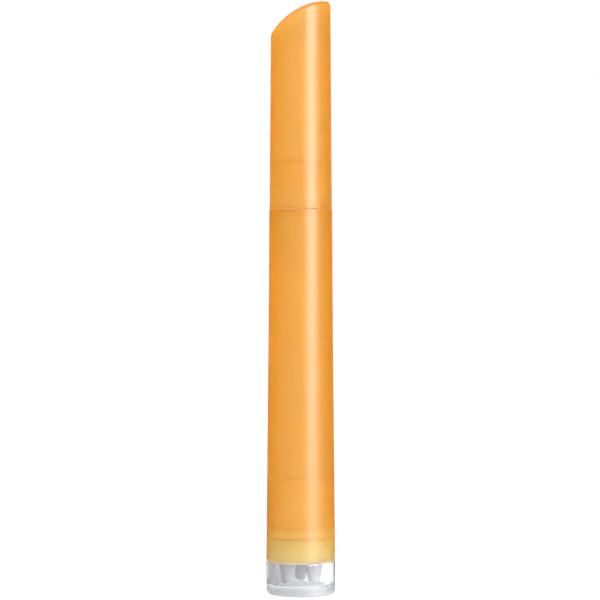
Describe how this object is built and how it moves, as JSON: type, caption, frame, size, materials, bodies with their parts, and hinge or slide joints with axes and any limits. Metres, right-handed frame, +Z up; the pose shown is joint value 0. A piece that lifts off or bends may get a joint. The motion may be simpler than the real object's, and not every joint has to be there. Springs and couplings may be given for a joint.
{
  "type": "nail care stick",
  "caption": "Felt-tip pen applicator for nail oil: frosted orange barrel and slanted pull-off cap, clear tail cap that holds spare nibs.",
  "frame": {"origin": "middle of the base of the tail cap, on the pen's axis, at the lowest point", "axes": "+Z up the pen's axis from the tail cap to the crown of the cap, +X towards the high side of the slanted crown"},
  "size_m": [0.0138, 0.0138, 0.1181],
  "materials": {
    "clear_plastic": "clear, polished, injection moulded",
    "frosted_orange_barrel": "frosted, satin, slightly see-through",
    "frosted_orange_cap": "frosted, satin, slightly see-through",
    "holder_plastic": "as moulded, white",
    "nozzle_plastic": "as moulded, white, fine satin",
    "liner_plastic": "as moulded, milky",
    "felt": "pressed felt",
    "soaked_fibre": "bundled fibre soaked with oil",
    "film": "thin clear film"
  },
  "bodies": {
    "pen": {"barrel": "frosted_orange_barrel", "spare_nib_holder": "holder_plastic", "spare_nib_1": "felt", "spare_nib_2": "felt", "spare_nib_3": "felt", "reservoir_fibre": "soaked_fibre", "reservoir_film": "film", "nozzle": "nozzle_plastic"},
    "cap": {"cap_shell": "frosted_orange_cap", "cap_liner": "liner_plastic"},
    "tail": {"tail_cap": "clear_plastic"},
    "felt_tip": {"nib": "felt"}
  },
  "joints": [
    {"name": "cap_pull", "type": "slide", "parent": "pen", "child": "cap", "axis": [0, 0, 1], "range_m": [0, 0.022]},
    {"name": "tail_cap_pull", "type": "slide", "parent": "pen", "child": "tail", "axis": [0, 0, -1], "range_m": [0, 0.012]},
    {"name": "nib_pull", "type": "slide", "parent": "pen", "child": "felt_tip", "axis": [0, 0, 1], "range_m": [0, 0.0165]}
  ]
}
